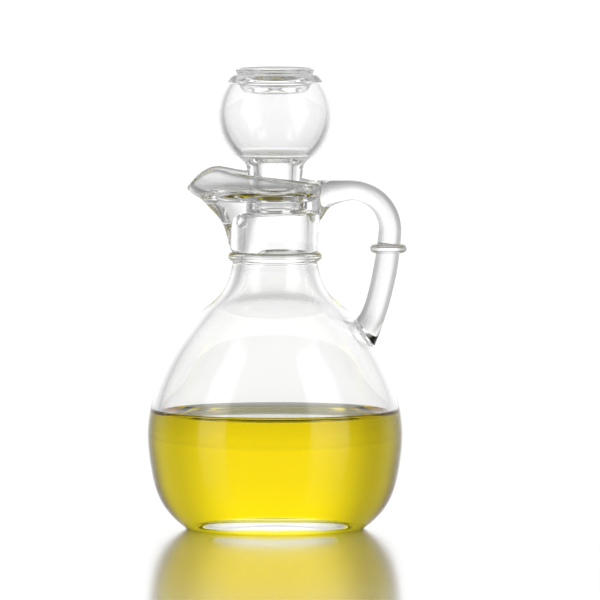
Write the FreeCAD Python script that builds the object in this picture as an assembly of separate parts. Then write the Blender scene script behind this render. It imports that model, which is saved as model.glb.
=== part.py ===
import FreeCAD, Part
import math
import os

# A glass table cruet for oil: a blown bottle with a pinched pouring spout, a bead round its neck, a
# bent-rod handle with a bead of its own, a hollow ball stopper with a dished top, and the oil inside.
# Millimetres. The origin is the centre of the foot, on the bottle's axis. +Z is up, the spout points
# along -X and the handle is on +X.

Vec = FreeCAD.Vector

# Bottle shell: outlines are (radius, height) points on smooth curves.
FOOT_RADIUS = 28.0
PUSH_UP_RADIUS = 24.0
PUSH_UP_HEIGHT = 3.2
BODY_RADIUS = 40.4
BODY_WIDEST_HEIGHT = 29.5
NECK_RADIUS = 13.5
NECK_START = 84.0
NECK_JOIN = 86.4
THROAT_RADIUS = 10.3
FLOOR_HEIGHT = 10.6

BODY_OUTLINE = [
    (FOOT_RADIUS, 0.0), (31.6, 2.9), (34.9, 6.7), (37.6, 12.0), (39.5, 20.4),
    (BODY_RADIUS, BODY_WIDEST_HEIGHT), (38.9, 40.9), (35.2, 51.2), (29.6, 61.2),
    (23.6, 68.9), (17.8, 73.9), (14.7, 79.2), (NECK_RADIUS, NECK_START),
]
INSIDE_OUTLINE = [
    (0.0, FLOOR_HEIGHT), (9.0, 10.0), (18.0, 8.1), (25.2, 6.6), (31.0, 8.1), (34.4, 12.8), (36.4, 20.6),
    (37.2, BODY_WIDEST_HEIGHT), (35.9, 40.2), (32.3, 50.0), (27.0, 59.3), (21.5, 66.3),
    (16.0, 71.6), (12.5, 76.8), (10.9, 81.6), (THROAT_RADIUS, 86.0),
]

# Ground seat for the stopper, at the top of the throat.
SEAT_RADIUS = 7.75
SEAT_LOW = 101.4
SEAT_TOP = 104.6
SEAT_SHOULDER = 1.6

# Mouth and spout: each level is (height, radius, reach of the spout beyond that radius).
OUTER_LEVELS = [
    (NECK_JOIN, NECK_RADIUS + 0.1, 0.0), (91.2, 13.6, 1.3), (94.6, 13.9, 1.9), (98.0, 14.3, 3.1),
    (101.7, 14.6, 6.1), (105.0, 14.9, 9.3), (107.2, 15.1, 12.2), (109.5, 15.3, 13.1), (118.0, 15.8, 13.6),
]
INNER_LEVELS = [
    (SEAT_TOP - 0.4, SEAT_RADIUS + 0.1, 0.0), (105.3, 9.0, 5.6), (106.4, 10.2, 10.4), (107.8, 11.2, 13.2),
    (109.5, 11.9, 14.2), (118.0, 12.9, 14.2),
]
SPOUT_SHARPNESS = 4
RIM_SLOPE = [(16.0, 109.6), (0.0, 111.8), (-14.0, 113.8), (-19.8, 114.4), (-23.8, 112.4), (-28.3, 108.1)]
RIM_ROUNDING = 0.4
MOUTH_LOW = SEAT_TOP + 4
POINTS_PER_LEVEL = 32

# Bead round the neck.
NECK_RING_OUTER = 14.9
NECK_RING_HALF_THICKNESS = 1.6

# Handle: a rod from the rim, level, round a bend and down to the shoulder. Each section is
# (station, half height, half width): station -1 to 0 runs level from the neck, 0 to 1 round the bend
# and 1 to 2 down a gentle arc to the foot. The outer side stays flush, so the rod flares inwards.
HANDLE_START = 12.0
HANDLE_HEIGHT = 107.35
HANDLE_BEND_START = 24.0
HANDLE_BEND_RADIUS = 12.4
HANDLE_BEND_TURN = math.radians(94)
HANDLE_FOOT = (28.9, 61.5)
HANDLE_SIDE = 3.75
HANDLE_SECTIONS = [
    (-1.0, 7.4, 5.8), (-0.78, 6.2, 5.2), (-0.58, 4.5, 4.6), (-0.36, 3.7, 4.2), (0.0, 3.15, 4.0),
    (0.5, 3.3, 4.0), (1.0, 3.6, 4.0), (1.35, 3.75, 4.0), (1.7, 3.75, 4.1), (1.84, 4.0, 4.4),
    (1.93, 4.6, 4.9), (2.02, 5.6, 5.4), (2.12, 6.6, 5.8),
]
HANDLE_RING_HEIGHT = 88.9
HANDLE_RING_OUTER = 5.8
HANDLE_RING_HALF_THICKNESS = 1.45

# Stopper: hollow ball, dished rim on top, hollow tapered peg below.
BALL_RADIUS = 18.2
BALL_BORE = 16.1
BALL_CENTRE = 131.5
BALL_JOIN = 118.0
BALL_TOP = 143.8
PEG_LOW = 102.0
PEG_RADIUS_LOW = 7.4
PEG_RADIUS_HIGH = 9.0
PEG_NECK = 114.6
PEG_BORE = 5.3
PEG_TIP_ROUNDING = 1.5
PEG_FLOOR = 2.4
DISH_RIM_RADIUS = 12.5
DISH_RIM_ROUNDING = 0.5
DISH_FLOOR = 139.6
DISH_FLOOR_RADIUS = 9.1
DISH_UNDERSIDE = 137.8
DISH_JOIN = 141.0
DISH_WALL_RADIUS = 11.4
STOPPER_TOP = 146.0
GROOVE_RADIUS = 12.1
GROOVE_HEIGHT = 143.9

OIL_LEVEL = 35.4


def curve_edge(outline):
    """One smooth edge through (radius, height) points in the XZ plane."""
    curve = Part.BSplineCurve()
    curve.interpolate([Vec(r, 0, z) for r, z in outline])
    return curve.toShape()


def line(start, end):
    return Part.makeLine(Vec(start[0], 0, start[1]), Vec(end[0], 0, end[1]))


def arc(start, through, end):
    return Part.Arc(*[Vec(r, 0, z) for r, z in (start, through, end)]).toShape()


def turned(edges):
    """Solid of revolution about Z from the edges of a closed outline."""
    face = Part.Face(Part.Wire(Part.__sortEdges__(edges)))
    return face.revolve(Vec(0, 0, 0), Vec(0, 0, 1), 360)


def chain(points):
    """Straight edges from point to point."""
    return [line(a, b) for a, b in zip(points, points[1:])]


def round_curve(point_at):
    """Smooth closed curve through point_at(turn) for turns from 0 to a full circle."""
    curve = Part.BSplineCurve()
    turns = [2 * math.pi * i / POINTS_PER_LEVEL for i in range(POINTS_PER_LEVEL)]
    curve.interpolate(Points=[point_at(turn) for turn in turns], PeriodicFlag=True)
    return Part.Wire(curve.toShape())


def spout_level(height, radius, reach):
    """Closed curve at one height: a circle drawn out to a spout along -X."""
    def point_at(turn):
        pull = ((1 - math.cos(turn)) / 2) ** SPOUT_SHARPNESS
        return Vec(radius * math.cos(turn) - reach * pull, radius * math.sin(turn), height)
    return round_curve(point_at)


def spout_solid(levels):
    return Part.makeLoft([spout_level(*level) for level in levels], True, False)


def under_rim():
    """Everything below the sloping rim, as a slab cut by its side view."""
    low, wide = NECK_START - 24, BODY_RADIUS * 1.5
    rim = curve_edge(RIM_SLOPE)
    right, left = RIM_SLOPE[0], RIM_SLOPE[-1]
    right_edge, left_edge = (wide, right[1] - 6), (-wide, left[1] - 14)
    sides = chain([right, right_edge, (wide, low), (-wide, low), left_edge, left])
    face = Part.Face(Part.Wire(Part.__sortEdges__([rim] + sides)))
    face.translate(Vec(0, -wide, 0))
    return face.extrude(Vec(0, 2 * wide, 0))


def bottle_outside():
    """The outer form, solid: turned body and neck, and the lofted mouth above them."""
    top = (NECK_RADIUS, NECK_JOIN)
    push_up, push_up_edge = (0, PUSH_UP_HEIGHT), (PUSH_UP_RADIUS, 0.0)
    push_up_middle = (PUSH_UP_RADIUS / 2, 0.75 * PUSH_UP_HEIGHT)
    body = turned(
        [curve_edge(BODY_OUTLINE), line(BODY_OUTLINE[-1], top)]
        + chain([top, (0, NECK_JOIN), push_up])
        + [arc(push_up, push_up_middle, push_up_edge), line(push_up_edge, BODY_OUTLINE[0])]
    )
    return body.fuse(spout_solid(OUTER_LEVELS).common(under_rim()))


def bottle_inside():
    """The hollow: body, throat and seat turned, and the mouth with its pouring channel lofted."""
    throat_top = (THROAT_RADIUS, SEAT_LOW - SEAT_SHOULDER)
    seat_low = (SEAT_RADIUS, SEAT_LOW)
    shoulder_middle = (THROAT_RADIUS - 0.35, SEAT_LOW - 0.65)
    hollow = turned(
        [curve_edge(INSIDE_OUTLINE), line(INSIDE_OUTLINE[-1], throat_top)]
        + [arc(throat_top, shoulder_middle, seat_low)]
        + chain([seat_low, (SEAT_RADIUS, SEAT_TOP), (0, SEAT_TOP), (0, FLOOR_HEIGHT)])
    )
    return hollow, spout_solid(INNER_LEVELS)


def bottle_body():
    hollow, mouth = bottle_inside()
    shell = bottle_outside().cut(hollow).cut(mouth).removeSplitter()
    rim_edges = [e for e in shell.Edges if e.BoundBox.ZMax > MOUTH_LOW and e.BoundBox.YLength > SEAT_RADIUS]
    return shell.makeFillet(RIM_ROUNDING, rim_edges)


def bead(centre, axis, outer_radius, half_thickness):
    """Torus bead about an axis, before it is cut to the glass it sits on."""
    return Part.makeTorus(outer_radius - half_thickness, half_thickness, centre, axis)


def handle_path(station):
    """Centre of the rod and its direction, as an angle below +X."""
    if station <= 0:
        return HANDLE_BEND_START + station * (HANDLE_BEND_START - HANDLE_START), HANDLE_HEIGHT, 0.0
    if station <= 1:
        angle = HANDLE_BEND_TURN * station
        return (HANDLE_BEND_START + HANDLE_BEND_RADIUS * math.sin(angle),
                HANDLE_HEIGHT - HANDLE_BEND_RADIUS * (1 - math.cos(angle)), angle)
    x, z, first = handle_path(1)
    half_turn = math.atan2(z - HANDLE_FOOT[1], HANDLE_FOOT[0] - x) - first
    radius = math.dist((x, z), HANDLE_FOOT) / (2 * math.sin(half_turn))
    angle = first + (station - 1) * 2 * half_turn
    return (x + radius * (math.sin(angle) - math.sin(first)),
            z + radius * (math.cos(angle) - math.cos(first)), angle)


def handle_section(station, half_height, half_width):
    """Oval section of the rod, square to its path, with its outer side flush."""
    x, z, angle = handle_path(station)
    outwards = Vec(math.sin(angle), 0, math.cos(angle))
    flush = half_height - min(half for _, half, _ in HANDLE_SECTIONS)
    centre = Vec(x, 0, z) - outwards * (flush if station < 0 else max(0.0, half_height - HANDLE_SIDE))
    return round_curve(lambda turn: centre + outwards * (half_height * math.cos(turn))
                       + Vec(0, half_width * math.sin(turn), 0))


def handle_rod():
    return Part.makeLoft([handle_section(*section) for section in HANDLE_SECTIONS], True, False)


def station_at(height):
    """Station on the rod's downward arc at a height, by halving."""
    low, high = 1.0, 2.0
    for _ in range(40):
        middle = (low + high) / 2
        low, high = (middle, high) if handle_path(middle)[1] > height else (low, middle)
    return low


def handle_ring_bead():
    """The rod's bead, which lies level."""
    x, z, _ = handle_path(station_at(HANDLE_RING_HEIGHT))
    return bead(Vec(x, 0, z), Vec(0, 0, 1), HANDLE_RING_OUTER, HANDLE_RING_HALF_THICKNESS)


def neck_ring_bead():
    return bead(Vec(0, 0, NECK_JOIN), Vec(0, 0, 1), NECK_RING_OUTER, NECK_RING_HALF_THICKNESS)


def peg_radius(height):
    """The peg's taper."""
    share = (height - PEG_LOW) / (PEG_NECK - PEG_LOW)
    return PEG_RADIUS_LOW + (PEG_RADIUS_HIGH - PEG_RADIUS_LOW) * share


def ball_chord(radius, height):
    """Radius of a sphere about the ball's centre, at a height."""
    return math.sqrt(radius**2 - (height - BALL_CENTRE) ** 2)


def stopper_ball():
    """Hollow ball, open below for the peg and above for the dish."""
    join_outer = (ball_chord(BALL_RADIUS, BALL_JOIN), BALL_JOIN)
    join_inner = (ball_chord(BALL_BORE, BALL_JOIN), BALL_JOIN)
    top_outer = (ball_chord(BALL_RADIUS, BALL_TOP), BALL_TOP)
    top_inner = (ball_chord(BALL_BORE, DISH_JOIN), DISH_JOIN)
    groove = (GROOVE_RADIUS, GROOVE_HEIGHT)
    shoulder = ((top_outer[0] + GROOVE_RADIUS) / 2, GROOVE_HEIGHT + 0.25)
    return turned([
        arc(join_outer, (BALL_RADIUS, BALL_CENTRE), top_outer), arc(top_outer, shoulder, groove),
        line(groove, (DISH_WALL_RADIUS, DISH_JOIN)), line((DISH_WALL_RADIUS, DISH_JOIN), top_inner),
        arc(top_inner, (BALL_BORE, BALL_CENTRE), join_inner), line(join_inner, join_outer),
    ])


def stopper_cup():
    """Dished rim: a round-floored cup let into the top of the ball, flaring above it."""
    floor, floor_edge = (0, DISH_FLOOR), (DISH_FLOOR_RADIUS, DISH_JOIN)
    floor_middle = (DISH_FLOOR_RADIUS / 2, DISH_FLOOR + (DISH_JOIN - DISH_FLOOR) / 4)
    cup = turned([arc(floor, floor_middle, floor_edge)] + chain([
        floor_edge, (DISH_RIM_RADIUS - 1.2, STOPPER_TOP), (DISH_RIM_RADIUS, STOPPER_TOP),
        (DISH_RIM_RADIUS, STOPPER_TOP - 0.9), (GROOVE_RADIUS, GROOVE_HEIGHT),
        (DISH_WALL_RADIUS, DISH_JOIN), (DISH_FLOOR_RADIUS, DISH_UNDERSIDE), (0, DISH_UNDERSIDE), floor,
    ]))
    rim_edges = [e for e in cup.Edges if e.BoundBox.ZMin > STOPPER_TOP - 0.1]
    return cup.makeFillet(DISH_RIM_ROUNDING, rim_edges)


def stopper_peg():
    """Hollow tapered peg, closed and rounded below, spreading to meet the ball."""
    join_outer = (ball_chord(BALL_RADIUS, BALL_JOIN), BALL_JOIN)
    join_inner = (ball_chord(BALL_BORE, BALL_JOIN), BALL_JOIN)
    neck = (PEG_RADIUS_HIGH, PEG_NECK)
    tip = (peg_radius(PEG_LOW + PEG_TIP_ROUNDING), PEG_LOW + PEG_TIP_ROUNDING)
    tip_middle = (tip[0] - 0.3 * PEG_TIP_ROUNDING, PEG_LOW + 0.3 * PEG_TIP_ROUNDING)
    tip_low = (tip[0] - PEG_TIP_ROUNDING, PEG_LOW)
    spread = (PEG_RADIUS_HIGH + 1.1, PEG_NECK + 2.0)
    bore_low = PEG_LOW + PEG_FLOOR
    bore_side, bore_corner = (PEG_BORE, bore_low + 2.0), (PEG_BORE - 1.2, bore_low + 0.6)
    bore_floor = (PEG_BORE - 3.5, bore_low)
    return turned(
        [arc(tip_low, tip_middle, tip), line(tip, neck), arc(neck, spread, join_outer)]
        + chain([join_outer, join_inner, (PEG_BORE, PEG_NECK + 1.0), bore_side])
        + [arc(bore_side, bore_corner, bore_floor)]
        + chain([bore_floor, (0, bore_low), (0, PEG_LOW), tip_low])
    )


def oil():
    """The oil, filling the inside up to its level."""
    hollow, _ = bottle_inside()
    return hollow.common(Part.makeCylinder(BODY_RADIUS, OIL_LEVEL))


def parts():
    outside = bottle_outside()
    rod = handle_rod()
    return {
        "bottle_body": bottle_body(),
        "neck_ring": neck_ring_bead().cut(outside),
        "handle": rod.cut(outside),
        "handle_ring": handle_ring_bead().cut(rod),
        "stopper_ball": stopper_ball(),
        "stopper_cup": stopper_cup(),
        "stopper_peg": stopper_peg(),
        "oil": oil(),
    }


def main():
    os.makedirs("parts", exist_ok=True)
    for name, shape in parts().items():
        shape.exportStep(f"parts/{name}.step")
        box = shape.BoundBox
        print(f"{name}: {len(shape.Solids)} solid, valid {shape.isValid()}, {shape.Volume / 1000:.2f} cm3, "
              f"x {box.XMin:.1f} to {box.XMax:.1f}, z {box.ZMin:.1f} to {box.ZMax:.1f}")


main()
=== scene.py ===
import math

import bpy
import numpy as np
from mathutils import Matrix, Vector


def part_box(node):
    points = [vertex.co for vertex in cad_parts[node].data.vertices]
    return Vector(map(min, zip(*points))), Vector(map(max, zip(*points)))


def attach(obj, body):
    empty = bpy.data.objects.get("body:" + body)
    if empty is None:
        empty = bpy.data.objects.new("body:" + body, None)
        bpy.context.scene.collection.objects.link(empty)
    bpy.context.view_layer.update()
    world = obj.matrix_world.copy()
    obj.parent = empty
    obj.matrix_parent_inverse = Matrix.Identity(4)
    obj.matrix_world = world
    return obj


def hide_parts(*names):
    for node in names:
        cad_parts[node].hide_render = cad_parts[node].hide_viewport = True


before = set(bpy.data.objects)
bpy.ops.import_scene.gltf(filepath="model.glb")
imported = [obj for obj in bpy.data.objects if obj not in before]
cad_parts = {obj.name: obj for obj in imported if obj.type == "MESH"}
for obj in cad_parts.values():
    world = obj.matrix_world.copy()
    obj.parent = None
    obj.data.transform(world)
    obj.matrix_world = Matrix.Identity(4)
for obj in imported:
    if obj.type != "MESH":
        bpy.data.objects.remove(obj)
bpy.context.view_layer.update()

MM = 0.001
ROUND = 2 * math.pi

# Places taken from the frame, in millimetres.
NECK_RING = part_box("neck_ring")
HANDLE_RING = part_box("handle_ring")
RING_HEIGHT = (NECK_RING[0][2] + NECK_RING[1][2]) / 2 / MM
RING_RADIUS = NECK_RING[1][0] / MM
RING_HALF_THICKNESS = (NECK_RING[1][2] - NECK_RING[0][2]) / 2 / MM
OIL_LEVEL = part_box("oil")[1][2] / MM
PEG_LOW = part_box("stopper_peg")[0][2] / MM
BALL_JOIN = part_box("stopper_ball")[0][2] / MM
BALL_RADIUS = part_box("stopper_ball")[1][0] / MM

# Outlines of the blown body, as (radius, height) on smooth curves, in millimetres.
BODY_OUTLINE = [
    (28.0, 0.0), (31.6, 2.9), (34.9, 6.7), (37.6, 12.0), (39.5, 20.4), (40.4, 29.5), (38.9, 40.9),
    (35.2, 51.2), (29.6, 61.2), (23.6, 68.9), (17.8, 73.9), (14.7, 79.2), (13.5, 84.0),
]
INSIDE_OUTLINE = [
    (0.0, 10.6), (9.0, 10.0), (18.0, 8.1), (25.2, 6.6), (31.0, 8.1), (34.4, 12.8), (36.4, 20.6),
    (37.2, 29.5), (35.9, 40.2), (32.3, 50.0), (27.0, 59.3), (21.5, 66.3),
    (16.0, 71.6), (12.5, 76.8), (10.9, 81.6), (10.3, 86.0),
]
FOOT_OUTLINE = [(24.4, 0.0), (26.2, 0.0), (27.6, 0.0)]
PUSH_UP_HEIGHT = 3.2
PUSH_UP_RADIUS = 24.0
NECK_RADIUS = 13.5
NECK_LOW = 84.0
NECK_FLARE = 0.07
NECK_FLARE_LOW = 90.0
THROAT_RADIUS = 10.3
THROAT_LOW, THROAT_TOP = 87.0, 99.2
OUTLINE_ROWS, FLOOR_ROWS = 150, 20

# Seat for the stopper, and the shoulder under it, going down.
SEAT_RADIUS = 7.75
SEAT_LOW = 101.4
SEAT_TOP = 104.6
SEAT_SHOULDER = [
    (7.95, 101.4), (8.6, 101.25), (9.3, 101.05), (9.85, 100.75), (10.15, 100.35), (10.26, 99.9),
]

# Mouth and spout, as in the frame: (height, radius, reach of the spout beyond that radius).
OUTER_LEVELS = [
    (86.4, 13.6, 0.0), (91.2, 13.6, 1.3), (94.6, 13.9, 1.9), (98.0, 14.3, 3.1), (101.7, 14.6, 6.1),
    (105.0, 14.9, 9.3), (107.2, 15.1, 12.2), (109.5, 15.3, 13.1), (118.0, 15.8, 13.6),
]
INNER_LEVELS = [
    (104.2, 7.85, 0.0), (105.3, 9.0, 5.6), (106.4, 10.2, 10.4), (107.8, 11.2, 13.2),
    (109.5, 11.9, 14.2), (118.0, 12.9, 14.2),
]
RIM_SLOPE = [
    (-28.3, 108.1), (-23.8, 112.4), (-19.8, 114.4), (-14.0, 113.8), (0.0, 111.8), (16.0, 109.6),
]
ABOVE_RIM = 117.0
HALVINGS = 40
SPOUT_SHARPNESS = 4
LIP_HEIGHT = 1.3

# Handle path, as in the frame, and its sections: (station, half height, half width). The root is up
# to 1.2 mm slimmer each side than in the frame, and melts into the neck.
HANDLE_START = 12.0
HANDLE_HEIGHT = 107.35
HANDLE_BEND_START = 24.0
HANDLE_BEND_RADIUS = 12.4
HANDLE_BEND_TURN = math.radians(94)
HANDLE_FOOT = (28.9, 61.5)
HANDLE_ENDS = (-0.94, 2.1)
HANDLE_ROOT_SIDE = 3.15
HANDLE_FOOT_SIDE = 3.75
HANDLE_SECTIONS = [
    (-1.0, 7.4, 4.6), (-0.78, 6.2, 4.4), (-0.58, 4.5, 4.2), (-0.36, 3.7, 4.1), (0.0, 3.15, 4.0),
    (0.5, 3.3, 4.0), (1.0, 3.6, 4.0), (1.35, 3.75, 4.0), (1.7, 3.75, 4.1), (1.84, 4.0, 4.4),
    (1.93, 4.6, 4.9), (2.02, 5.6, 5.4), (2.12, 6.6, 5.8),
]
HANDLE_SINK = 1.4

# Stopper: the ball, and (radius, height) outlines of its outside and its hollow, going up.
BALL_CENTRE = 131.5
BALL_BORE = 16.1
BALL_LOW, BALL_TOP = 0.8, 143.5
HOLLOW_LOW, HOLLOW_TOP = 119.2, 140.2
PEG_RADIUS_LOW = 7.4
PEG_TAPER = 0.127
PEG_TIP_ROUNDING = 1.5
PEG_SIDE = (104.2, 114.6)
PEG_FLARE = [(9.0, 114.6), (9.3, 115.5), (10.1, 116.6), (11.3, 117.6)]
BALL_SHOULDER = [(13.1, 143.95), (12.6, 144.05), (12.25, 143.95)]
RIM_SIDE = [(12.12, 144.1), (12.15, 144.4), (12.3, 144.8), (12.45, 145.15)]
RIM_CENTRE = (11.95, 145.45)
RIM_ROUNDING = 0.55
DISH_SIDE = [(11.3, 145.5), (10.9, 144.6), (9.9, 142.3), (9.3, 141.2), (8.4, 140.75)]
DISH_BOTTOM = [(8.2, 140.6), (5.6, 140.05), (2.8, 139.7), (0, 139.6)]
PEG_HOLLOW_TIP = [(0, 2.4), (1.8, 2.45)]
PEG_HOLLOW = [(3.2, 104.9), (4.8, 106.2), (5.25, 108.0), (5.3, 111.0), (5.35, 115.0)]
HOLLOW_FLARE = [(5.45, 116.0), (6.1, 117.2), (7.8, 118.2), (9.2, 118.7)]
DISH_BACK = [(12.9, 141.3), (12.1, 141.5), (11.2, 140.4), (9.9, 138.6), (8.2, 137.9)]
DISH_UNDERSIDE = [(6.0, 137.8), (3.0, 137.8), (0, 137.8)]

# Oil: it climbs the wall, and stays a hair off the glass so that no two surfaces coincide.
MENISCUS_RISE = 2.2
MENISCUS_WIDTH = 1.7
MENISCUS_REACH = 9.0
OIL_GAP = 0.03
OIL_FLOOR_RADIUS = 30

# Indices of refraction: glass, oil, and glass against oil.
GLASS_INDEX = 1.52
OIL_INDEX = 1.47
WETTED_INDEX = 1.034
GLASS_TINT = (0.992, 0.996, 0.993, 1)
OIL_COLOUR = (0.985, 0.958, 0.0, 1)
OIL_DENSITY = 140.0

# Light round the bottle, by azimuth off the back wall's middle and by elevation, in degrees.
BACK_LEVEL = 1.32
BACK_FADE = (9, 39)
HORIZON_LEVEL = 1.2
HORIZON_FADE = (0, 18)
SIDE_LEFT, SIDE_RIGHT = 0.58, 0.75
SIDE_FADE = (-0.7, 0.7)
FRONT_LEVEL = 0.16
FRONT_FADE = (48, 78)
TOP_LEVEL = 0.3
TOP_FADE = (32, 55)
BOX_LEVEL = 1.2
LEFT_BOX, RIGHT_BOX = (-60, 14), (52, 19)
BOX_HEIGHTS = (-8, 55)
BOX_EDGE = 3

# Floor and camera, in metres.
FLOOR_SIZE = 400
FLOOR_COLOUR = (0.6, 0.6, 0.6, 1)
CAMERA_TARGET = (7.9 * MM, 0, 72.5 * MM)
CAMERA_DISTANCE = 3.5
CAMERA_ELEVATION = math.radians(3.6)
VIEW_WIDTH = 0.190
SENSOR_WIDTH = 36

SEGMENTS = 192
SHARP_ANGLE = math.radians(50)
LIGHT_BOUNCES = 96


def natural_spline(knots, values, at):
    """Natural cubic spline through (knots, values), read at an array of places."""
    knots, values, at = (np.asarray(a, float) for a in (knots, values, at))
    gap = np.diff(knots)
    slope = np.diff(values) / gap
    size = len(knots)
    rows = np.eye(size)
    right = np.zeros(size)
    for i in range(1, size - 1):
        rows[i, i - 1:i + 2] = gap[i - 1], 2 * (gap[i - 1] + gap[i]), gap[i]
        right[i] = 6 * (slope[i] - slope[i - 1])
    bend = np.linalg.solve(rows, right)
    i = np.clip(np.searchsorted(knots, at) - 1, 0, size - 2)
    low, high = at - knots[i], knots[i + 1] - at
    cubic = (bend[i] * high**3 + bend[i + 1] * low**3) / (6 * gap[i])
    return (cubic + (values[i] / gap[i] - bend[i] * gap[i] / 6) * high
            + (values[i + 1] / gap[i] - bend[i + 1] * gap[i] / 6) * low)


def smooth_outline(points, count):
    """Evenly spaced (radius, height) places on a smooth curve through points."""
    points = np.array(points, float)
    along = np.concatenate([[0], np.cumsum(np.linalg.norm(np.diff(points, axis=0), axis=1))])
    fine = np.linspace(0, along[-1], 1500)
    curve = np.stack([natural_spline(along, points[:, axis], fine) for axis in (0, 1)], axis=1)
    travelled = np.concatenate([[0], np.cumsum(np.linalg.norm(np.diff(curve, axis=0), axis=1))])
    even = np.linspace(0, travelled[-1], count)
    return np.stack([np.interp(even, travelled, curve[:, axis]) for axis in (0, 1)], axis=1)


def arc_outline(centre, radius, first, last, count):
    """Places on an arc, from one angle to another in degrees above the outward level."""
    angles = np.radians(np.linspace(first, last, count))
    return np.stack([centre[0] + radius * np.cos(angles), centre[1] + radius * np.sin(angles)], axis=1)


TURNS = np.linspace(0, ROUND, SEGMENTS, endpoint=False)


def ring_of(radius, height):
    return np.stack([radius * np.cos(TURNS), radius * np.sin(TURNS), np.full(SEGMENTS, height)], axis=1)


def rings_of(outline):
    return [ring_of(radius, height) for radius, height in outline]


def mesh_object(name, points, faces, material_of_face=None):
    """A smooth-shaded mesh object from places in millimetres."""
    mesh = bpy.data.meshes.new(name)
    mesh.from_pydata([tuple(p) for p in np.asarray(points) * MM], [], faces)
    mesh.validate()
    for polygon in mesh.polygons:
        polygon.use_smooth = True
        if material_of_face:
            polygon.material_index = material_of_face[polygon.index]
    piece = bpy.data.objects.new(name, mesh)
    bpy.context.scene.collection.objects.link(piece)
    return piece


def ring_faces(rings, first, flip=False):
    """Points, faces and each face's row: quads between rings, and a fan where a ring is one point."""
    points, faces, rows, starts = [], [], [], []
    for ring in rings:
        starts.append(first + len(points))
        points.extend(ring)
    for row, (a, b) in enumerate(zip(rings, rings[1:])):
        count = max(len(a), len(b))
        for i in range(count):
            j = (i + 1) % count
            here = [starts[row] + i, starts[row] + j] if len(a) > 1 else [starts[row]]
            there = [starts[row + 1] + j, starts[row + 1] + i] if len(b) > 1 else [starts[row + 1]]
            face = here + there
            faces.append(face[::-1] if flip else face)
            rows.append(row)
    return points, faces, rows


def axis_point(height):
    return np.array([[0.0, 0.0, height]])


def spout_ring(levels, heights):
    """A closed curve round the mouth, at a height for each turn."""
    table = np.array(levels)
    radius = natural_spline(table[:, 0], table[:, 1], heights)
    reach = natural_spline(table[:, 0], table[:, 2], heights)
    pull = ((1 - np.cos(TURNS)) / 2) ** SPOUT_SHARPNESS
    return np.stack([radius * np.cos(TURNS) - reach * pull, radius * np.sin(TURNS), heights], axis=1)


def rim_height(x):
    table = np.array(RIM_SLOPE)
    return natural_spline(table[:, 0], table[:, 1], x)


def rim_normal(x):
    """The direction square to the sloping rim, seen from the side."""
    slope = (rim_height(x + 0.05) - rim_height(x - 0.05)) / 0.1
    normal = np.stack([-slope, np.zeros_like(slope), np.ones_like(slope)], axis=1)
    return normal / np.linalg.norm(normal, axis=1)[:, None]


def heights_under_rim(levels, low):
    """For each turn, the height at which a mouth surface comes within the lip's height of the rim."""
    low, high = np.full(SEGMENTS, low), np.full(SEGMENTS, ABOVE_RIM)
    for _ in range(HALVINGS):
        middle = (low + high) / 2
        x = spout_ring(levels, middle)[:, 0]
        below = middle + LIP_HEIGHT / rim_normal(x)[:, 2] < rim_height(x)
        low, high = np.where(below, middle, low), np.where(below, high, middle)
    return low


def mouth_rings():
    """Up the outside of the mouth, over the rounded lip and down the inside to the seat."""
    start = RING_HEIGHT + RING_HALF_THICKNESS
    outer_rise = heights_under_rim(OUTER_LEVELS, start) - start
    inner_rise = heights_under_rim(INNER_LEVELS, SEAT_TOP + 0.1) - SEAT_TOP
    going_up, going_down = np.linspace(0.03, 1, 34), np.linspace(1, 0, 26) ** 1.3
    outside = [spout_ring(OUTER_LEVELS, start + share * outer_rise) for share in going_up]
    inside = [spout_ring(INNER_LEVELS, SEAT_TOP + share * inner_rise) for share in going_down]
    middle = (outside[-1] + inside[0]) / 2
    normal = rim_normal(middle[:, 0])
    lip = []
    for angle in np.linspace(0, math.pi, 13)[1:-1]:
        level, rise = math.cos(angle) * (outside[-1] - middle), math.sin(angle) * LIP_HEIGHT * normal
        lip.append(middle + level + rise)
    return outside + lip + inside


def bead_outline(radius_at_ends, count):
    """The neck bead as a round bump on the neck's outline."""
    centre = RING_RADIUS - RING_HALF_THICKNESS
    inset = radius_at_ends - centre
    edge = math.sqrt(max(RING_HALF_THICKNESS**2 - inset**2, 0.01))
    last = math.degrees(math.atan2(edge, inset))
    return arc_outline((centre, RING_HEIGHT), RING_HALF_THICKNESS, -last, last, count)


def contact_height():
    return OIL_LEVEL + MENISCUS_RISE


def inside_outline_split():
    """The inside outline from the floor's centre up, cut where the oil meets the wall."""
    outline = smooth_outline(INSIDE_OUTLINE, OUTLINE_ROWS)
    row = int(np.searchsorted(outline[FLOOR_ROWS:, 1], contact_height())) + FLOOR_ROWS
    share = (contact_height() - outline[row - 1, 1]) / (outline[row, 1] - outline[row - 1, 1])
    contact = outline[row - 1] + share * (outline[row] - outline[row - 1])
    return np.vstack([outline[:row], contact]), np.vstack([contact, outline[row:]])


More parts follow.
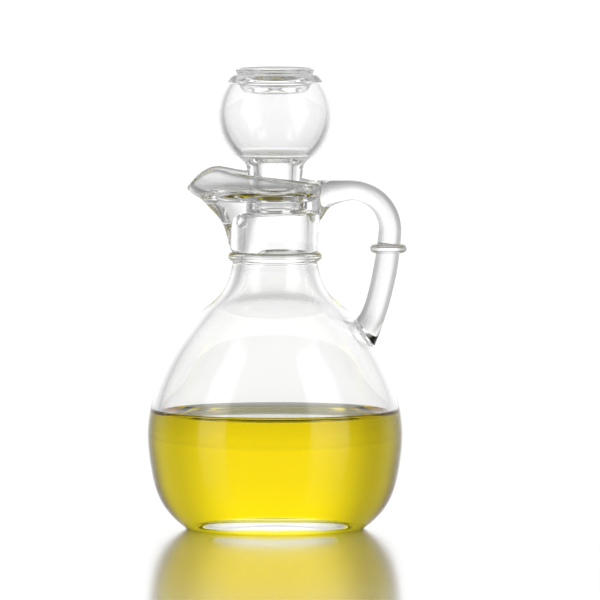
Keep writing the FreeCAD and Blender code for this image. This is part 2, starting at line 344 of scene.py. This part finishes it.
def bottle_shell(clear, wetted):
    """Foot, body, neck, bead, mouth and inside as one closed surface, round but for its spout."""
    wet, dry = inside_outline_split()
    push_up_radii = np.linspace(2, PUSH_UP_RADIUS - 0.4, 14)
    push_up = [(r, PUSH_UP_HEIGHT * (1 - (r / PUSH_UP_RADIUS) ** 2)) for r in push_up_radii]
    seat = [(SEAT_RADIUS + 0.06, SEAT_TOP - 0.25), (SEAT_RADIUS, SEAT_TOP - 0.5)]
    seat += [(SEAT_RADIUS, z) for z in np.linspace(SEAT_TOP - 1.0, SEAT_LOW + 0.3, 5)]
    throat = [(THROAT_RADIUS, z) for z in np.linspace(THROAT_TOP, THROAT_LOW, 9)]
    rings = [axis_point(PUSH_UP_HEIGHT)] + rings_of(push_up + FOOT_OUTLINE)
    rings += rings_of(smooth_outline(BODY_OUTLINE, 90)) + rings_of([(NECK_RADIUS, NECK_LOW + 0.3)])
    rings += rings_of(bead_outline(NECK_RADIUS + 0.05, 15)) + mouth_rings()
    rings += rings_of(seat + SEAT_SHOULDER + throat) + rings_of(dry[::-1])
    first_wet_row = len(rings) - 1
    rings += rings_of(wet[::-1][1:-1]) + [axis_point(wet[0][1])]
    points, faces, rows = ring_faces(rings, 0)
    slots = [int(row >= first_wet_row) for row in rows]
    piece = mesh_object("bottle_glass", points, faces, slots)
    piece.data.materials.append(clear)
    piece.data.materials.append(wetted)
    return piece


def handle_path(station):
    """Centre of the rod and its direction, as an angle below +X."""
    if station <= 0:
        return HANDLE_BEND_START + station * (HANDLE_BEND_START - HANDLE_START), HANDLE_HEIGHT, 0.0
    if station <= 1:
        angle = HANDLE_BEND_TURN * station
        return (HANDLE_BEND_START + HANDLE_BEND_RADIUS * math.sin(angle),
                HANDLE_HEIGHT - HANDLE_BEND_RADIUS * (1 - math.cos(angle)), angle)
    x, z, first = handle_path(1)
    half_turn = math.atan2(z - HANDLE_FOOT[1], HANDLE_FOOT[0] - x) - first
    radius = math.dist((x, z), HANDLE_FOOT) / (2 * math.sin(half_turn))
    angle = first + (station - 1) * 2 * half_turn
    across, down = math.sin(angle) - math.sin(first), math.cos(angle) - math.cos(first)
    return x + radius * across, z + radius * down, angle


def handle_section(station, half_height, half_width, count=64):
    """Oval section of the rod, square to its path, with its outer side flush."""
    x, z, angle = handle_path(station)
    outwards = np.array([math.sin(angle), 0, math.cos(angle)])
    flush = half_height - HANDLE_ROOT_SIDE if station < 0 else max(0.0, half_height - HANDLE_FOOT_SIDE)
    centre = np.array([x, 0, z]) - outwards * flush
    turns = np.linspace(0, ROUND, count, endpoint=False)
    return (centre + np.outer(np.cos(turns) * half_height, outwards)
            + np.outer(np.sin(turns) * half_width, [0, 1, 0]))


def handle_rod():
    """The rod, closed, and ending inside the walls of the neck and the shoulder."""
    table = np.array(HANDLE_SECTIONS)
    stations = np.linspace(*HANDLE_ENDS, 200)
    half_heights, half_widths = (natural_spline(table[:, 0], table[:, k], stations) for k in (1, 2))
    sections = zip(stations, half_heights, half_widths)
    rings = [held_in_wall(handle_section(*section)) for section in sections]
    rings = [rings[0].mean(axis=0)[None]] + rings + [rings[-1].mean(axis=0)[None]]
    points, faces, _ = ring_faces(rings, 0, flip=True)
    return mesh_object("handle_rod", points, faces)


def handle_bead():
    """The level bead on the rod."""
    low, high = HANDLE_RING
    thickness = (high[2] - low[2]) / 2
    centre = [(a + b) / 2 for a, b in zip(low, high)]
    bpy.ops.mesh.primitive_torus_add(location=centre, major_radius=(high[1] - low[1]) / 2 - thickness,
                                     minor_radius=thickness, major_segments=96, minor_segments=32)
    return bpy.context.object


def held_in_wall(ring):
    """Moves places of the rod that would pass through the bottle's wall back into the wall."""
    outline = smooth_outline(BODY_OUTLINE, 400)
    height, radius = ring[:, 2], np.hypot(ring[:, 0], ring[:, 1])
    neck = NECK_RADIUS + NECK_FLARE * np.clip(height - NECK_FLARE_LOW, 0, None)
    body = np.interp(height, outline[:, 1], outline[:, 0])
    least = np.where(height > NECK_LOW, neck, body) - HANDLE_SINK
    scale = np.where(radius < least, least / radius, 1.0)
    return ring * np.stack([scale, scale, np.ones_like(scale)], axis=1)


def joined(base, *others):
    """Melts glass pieces into one, so that light meets no wall between them."""
    for other in others:
        modifier = base.modifiers.new("melt", "BOOLEAN")
        modifier.operation = "UNION"
        modifier.solver = "MANIFOLD"
        modifier.object = other
    graph = bpy.context.evaluated_depsgraph_get()
    mesh = bpy.data.meshes.new_from_object(base.evaluated_get(graph))
    base.modifiers.clear()
    base.data = mesh
    for other in others:
        bpy.data.objects.remove(other)
    mesh.set_sharp_from_angle(angle=SHARP_ANGLE)
    return base


def sphere_arc(radius, low, high, count):
    """Outline of the ball between two heights."""
    first, last = (math.degrees(math.asin((z - BALL_CENTRE) / radius)) for z in (low, high))
    return arc_outline((0, BALL_CENTRE), radius, first, last, count)


def stopper_glass(clear):
    """Ball, dish and peg as one outer surface, with the closed hollow inside it."""
    ball = sphere_arc(BALL_RADIUS, BALL_JOIN + BALL_LOW, BALL_TOP, 60)
    tip_centre = (PEG_RADIUS_LOW - 1.4, PEG_LOW + PEG_TIP_ROUNDING)
    outside = [(0, PEG_LOW), (2.5, PEG_LOW), (5.2, PEG_LOW + 0.05)]
    outside += list(arc_outline(tip_centre, PEG_TIP_ROUNDING, -75, -4, 6))
    outside += [(PEG_RADIUS_LOW + PEG_TAPER * (z - PEG_LOW), z) for z in np.linspace(*PEG_SIDE, 12)]
    outside += list(smooth_outline(PEG_FLARE + [tuple(ball[0])], 14)[1:-1])
    outside += list(ball)
    outside += list(smooth_outline([tuple(ball[-1])] + BALL_SHOULDER, 9)[1:]) + RIM_SIDE
    outside += list(arc_outline(RIM_CENTRE, RIM_ROUNDING, -20, 150, 10))
    outside += list(smooth_outline(DISH_SIDE, 14)[1:]) + list(smooth_outline(DISH_BOTTOM, 14))
    inside = [(r, PEG_LOW + rise) for r, rise in PEG_HOLLOW_TIP]
    inside += list(smooth_outline(PEG_HOLLOW, 14)) + list(smooth_outline(HOLLOW_FLARE, 7))
    inside += list(sphere_arc(BALL_BORE, HOLLOW_LOW, HOLLOW_TOP, 50))
    inside += list(smooth_outline(DISH_BACK, 10)) + DISH_UNDERSIDE
    rings = [axis_point(z) if r < 0.01 else ring_of(r, z) for r, z in outside]
    hollow = [axis_point(z) if r == 0 else ring_of(r, z) for r, z in inside]
    points, faces, _ = ring_faces(rings, 0)
    more_points, more_faces, _ = ring_faces(hollow, len(points), flip=True)
    piece = mesh_object("stopper_glass", points + more_points, faces + more_faces)
    piece.data.materials.append(clear)
    return piece


def oil_fill(material):
    """The oil: the inside's outline up to the contact line, and a level top that climbs the wall."""
    wet, _ = inside_outline_split()
    side = [(max(r - OIL_GAP, 0), z + (OIL_GAP if r < OIL_FLOOR_RADIUS else 0)) for r, z in wet]
    edge = side[-1]
    climb = np.linspace(0, 1, 14)[1:] ** 2 * MENISCUS_REACH
    radii = edge[0] - np.concatenate([climb, np.linspace(MENISCUS_REACH + 3, edge[0] - 1, 10)])
    rise = edge[1] - OIL_LEVEL
    top = [(r, OIL_LEVEL + rise * math.exp(-(edge[0] - r) / MENISCUS_WIDTH)) for r in radii]
    rings = [axis_point(side[0][1])] + rings_of(side[1:])
    first_free_row = len(rings) - 1
    rings += rings_of(top) + [axis_point(OIL_LEVEL)]
    points, faces, rows = ring_faces(rings, 0)
    piece = mesh_object("oil_fill", points, faces)
    free = piece.data.attributes.new("free_surface", "FLOAT", "CORNER")
    for polygon, row in zip(piece.data.polygons, rows):
        for loop in polygon.loop_indices:
            free.data[loop].value = float(row >= first_free_row)
    piece.data.materials.append(material)
    return piece


def new_material(name):
    material = bpy.data.materials.new(name)
    material.use_nodes = True
    return material, material.node_tree, material.node_tree.nodes["Principled BSDF"]


def glass_material(name, ior):
    material, _, shader = new_material(name)
    shader.inputs["Base Color"].default_value = GLASS_TINT
    shader.inputs["Roughness"].default_value = 0.0
    shader.inputs["Transmission Weight"].default_value = 1.0
    shader.inputs["IOR"].default_value = ior
    return material


def oil_material():
    """Clear yellow liquid. Light bends only at its free surface; the wetted glass does the rest."""
    material, tree, shader = new_material("yellow_oil")
    shader.inputs["Base Color"].default_value = (1, 1, 1, 1)
    shader.inputs["Roughness"].default_value = 0.0
    shader.inputs["Transmission Weight"].default_value = 1.0
    free = tree.nodes.new("ShaderNodeAttribute")
    free.attribute_name = "free_surface"
    bend = tree.nodes.new("ShaderNodeMath")
    bend.operation = "MULTIPLY_ADD"
    bend.inputs[1].default_value = OIL_INDEX - 1
    bend.inputs[2].default_value = 1.0
    tree.links.new(free.outputs["Fac"], bend.inputs[0])
    tree.links.new(bend.outputs[0], shader.inputs["IOR"])
    absorb = tree.nodes.new("ShaderNodeVolumeAbsorption")
    absorb.inputs["Color"].default_value = OIL_COLOUR
    absorb.inputs["Density"].default_value = OIL_DENSITY
    output = tree.nodes["Material Output"]
    tree.links.new(absorb.outputs[0], output.inputs["Volume"])
    return material


def floor_material():
    """Pale lacquer: nearly a mirror when seen at a low angle, and matt pale grey from above."""
    material, _, shader = new_material("pale_floor")
    shader.inputs["Base Color"].default_value = FLOOR_COLOUR
    shader.inputs["Roughness"].default_value = 0.2
    shader.inputs["Coat Weight"].default_value = 1.0
    shader.inputs["Coat Roughness"].default_value = 0.14
    return material


def make_floor():
    bpy.ops.mesh.primitive_plane_add(size=FLOOR_SIZE, location=(0, 0, 0))
    floor = bpy.context.object
    floor.name = "floor"
    floor.data.materials.append(floor_material())


def studio_light():
    """A bright back wall, dimmer sides, front and ceiling, and a soft box to each side in front."""
    world = bpy.data.worlds.new("studio")
    world.use_nodes = True
    bpy.context.scene.world = world
    tree = world.node_tree
    tree.nodes.clear()

    def maths(operation, *values):
        node = tree.nodes.new("ShaderNodeMath")
        node.operation = operation
        for socket, value in zip(node.inputs, values):
            if isinstance(value, (int, float)):
                socket.default_value = value
            else:
                tree.links.new(value, socket)
        return node.outputs[0]

    def fade(value, span, start=0.0, end=1.0):
        """Goes smoothly from start to end while value passes over span."""
        node = tree.nodes.new("ShaderNodeMapRange")
        node.interpolation_type = "SMOOTHSTEP"
        names = ("Value", "From Min", "From Max", "To Min", "To Max")
        for name, amount in zip(names, (value, *span, start, end)):
            if isinstance(amount, (int, float)):
                node.inputs[name].default_value = amount
            else:
                tree.links.new(amount, node.inputs[name])
        return node.outputs["Result"]

    place = tree.nodes.new("ShaderNodeTexCoord")
    split = tree.nodes.new("ShaderNodeSeparateXYZ")
    tree.links.new(place.outputs["Generated"], split.inputs[0])
    x, y, z = split.outputs
    elevation = maths("DEGREES", maths("ARCSINE", z))
    off_back = maths("DEGREES", maths("ABSOLUTE", maths("ARCTAN2", x, y)))
    off_front = maths("DEGREES", maths("ARCTAN2", x, maths("MULTIPLY", y, -1.0)))

    level = fade(x, SIDE_FADE, SIDE_LEFT, SIDE_RIGHT)
    back = fade(elevation, HORIZON_FADE, HORIZON_LEVEL, BACK_LEVEL)
    level = fade(off_back, BACK_FADE, back, level)
    level = fade(off_back, FRONT_FADE, level, FRONT_LEVEL)
    level = fade(elevation, TOP_FADE, level, TOP_LEVEL)
    for middle, half_width in (LEFT_BOX, RIGHT_BOX):
        sideways = maths("ABSOLUTE", maths("SUBTRACT", off_front, middle))
        inside = fade(sideways, (half_width - BOX_EDGE, half_width + BOX_EDGE), BOX_LEVEL, 0.0)
        for height, side in zip(BOX_HEIGHTS, (1, -1)):
            over = maths("MULTIPLY", maths("SUBTRACT", elevation, height), side)
            inside = fade(over, (-BOX_EDGE, BOX_EDGE), 0.0, inside)
        level = maths("ADD", level, inside)

    lit = tree.nodes.new("ShaderNodeBackground")
    tree.links.new(level, lit.inputs["Strength"])
    lit.inputs["Color"].default_value = (1, 1, 1, 1)
    output = tree.nodes.new("ShaderNodeOutputWorld")
    tree.links.new(lit.outputs[0], output.inputs["Surface"])


def make_camera():
    """A long lens level with the bottle and a little above it."""
    camera = bpy.data.objects.new("camera", bpy.data.cameras.new("camera"))
    bpy.context.scene.collection.objects.link(camera)
    back = Vector((0, -math.cos(CAMERA_ELEVATION), math.sin(CAMERA_ELEVATION)))
    camera.location = Vector(CAMERA_TARGET) + back * CAMERA_DISTANCE
    camera.rotation_mode = "QUATERNION"
    camera.rotation_quaternion = (-back).to_track_quat("-Z", "Y")
    camera.data.sensor_width = SENSOR_WIDTH
    camera.data.lens = SENSOR_WIDTH * CAMERA_DISTANCE / VIEW_WIDTH
    camera.data.clip_end = 1000
    bpy.context.scene.camera = camera


def main():
    clear = glass_material("clear_glass", GLASS_INDEX)
    wetted = glass_material("wetted_glass", WETTED_INDEX)
    bottle = bottle_shell(clear, wetted)
    bottle = joined(bottle, handle_rod(), handle_bead())
    stopper = stopper_glass(clear)
    oil = oil_fill(oil_material())

    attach(bottle, "bottle")
    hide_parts("bottle_body", "neck_ring", "handle", "handle_ring")
    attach(oil, "bottle")
    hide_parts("oil")
    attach(stopper, "stopper")
    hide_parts("stopper_ball", "stopper_cup", "stopper_peg")

    make_floor()
    studio_light()
    make_camera()
    scene = bpy.context.scene
    scene.view_settings.view_transform = "Standard"
    scene.cycles.max_bounces = LIGHT_BOUNCES
    scene.cycles.transmission_bounces = LIGHT_BOUNCES
    scene.cycles.glossy_bounces = LIGHT_BOUNCES


main()
